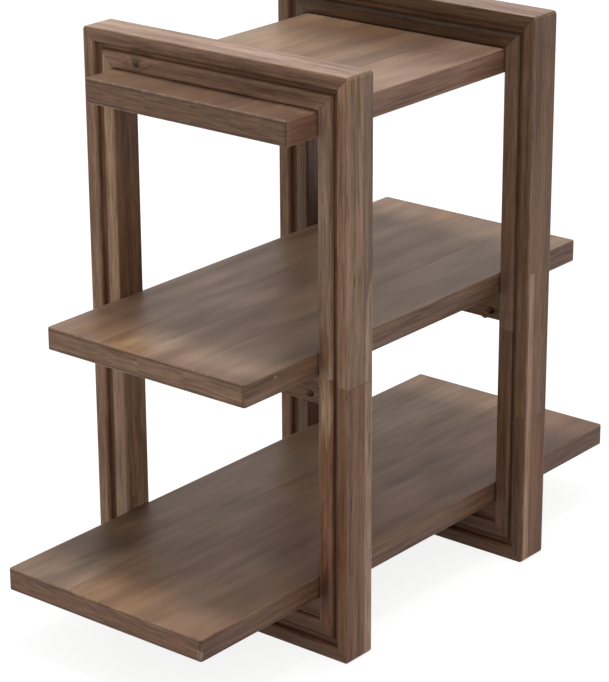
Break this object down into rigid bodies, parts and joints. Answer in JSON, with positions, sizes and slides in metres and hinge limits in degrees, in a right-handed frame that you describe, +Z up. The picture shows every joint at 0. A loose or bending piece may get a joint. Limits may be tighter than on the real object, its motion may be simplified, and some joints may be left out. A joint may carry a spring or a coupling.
{
  "type": "side table",
  "caption": "Open side table: stepped wooden shelves pass through a pair of upright mitred frames of moulded hardwood and stand out past them.",
  "frame": {"origin": "on the floor, at the middle of the table's length and width", "axes": "+X along the shelves' length, +Y across the frames towards the back, +Z up"},
  "size_m": [0.608, 0.296, 0.53],
  "materials": {
    "post_acacia": "satin grey-brown stain, grain along Z",
    "rail_acacia": "satin grey-brown stain, grain along Y",
    "shelf_acacia": "satin grey-brown stain on glued staves, grain along X",
    "bearer_acacia": "satin grey-brown stain, grain along Y",
    "tenon_beech": "bare compressed beech",
    "screw_steel": "black phosphate steel"
  },
  "bodies": {
    "root": {"bottom_shelf": "shelf_acacia", "left_bearer_back_screw": "screw_steel", "left_bearer_front_screw": "screw_steel", "left_bottom_bearer": "bearer_acacia", "left_bottom_rail_screws": "screw_steel", "left_frame_back_post": "post_acacia", "left_frame_bottom_back_tenon": "tenon_beech", "left_frame_bottom_front_tenon": "tenon_beech", "left_frame_bottom_rail": "rail_acacia", "left_frame_front_post": "post_acacia", "left_frame_top_back_tenon": "tenon_beech", "left_frame_top_front_tenon": "tenon_beech", "left_frame_top_rail": "rail_acacia", "left_middle_bearer": "bearer_acacia", "left_middle_shelf_screws": "screw_steel", "left_top_shelf_screws": "screw_steel", "middle_shelf": "shelf_acacia", "right_bearer_back_screw": "screw_steel", "right_bearer_front_screw": "screw_steel", "right_bottom_bearer": "bearer_acacia", "right_bottom_rail_screws": "screw_steel", "right_frame_back_post": "post_acacia", "right_frame_bottom_back_tenon": "tenon_beech", "right_frame_bottom_front_tenon": "tenon_beech", "right_frame_bottom_rail": "rail_acacia", "right_frame_front_post": "post_acacia", "right_frame_top_back_tenon": "tenon_beech", "right_frame_top_front_tenon": "tenon_beech", "right_frame_top_rail": "rail_acacia", "right_middle_bearer": "bearer_acacia", "right_middle_shelf_screws": "screw_steel", "right_top_shelf_screws": "screw_steel", "top_shelf": "shelf_acacia"}
  },
  "joints": []
}
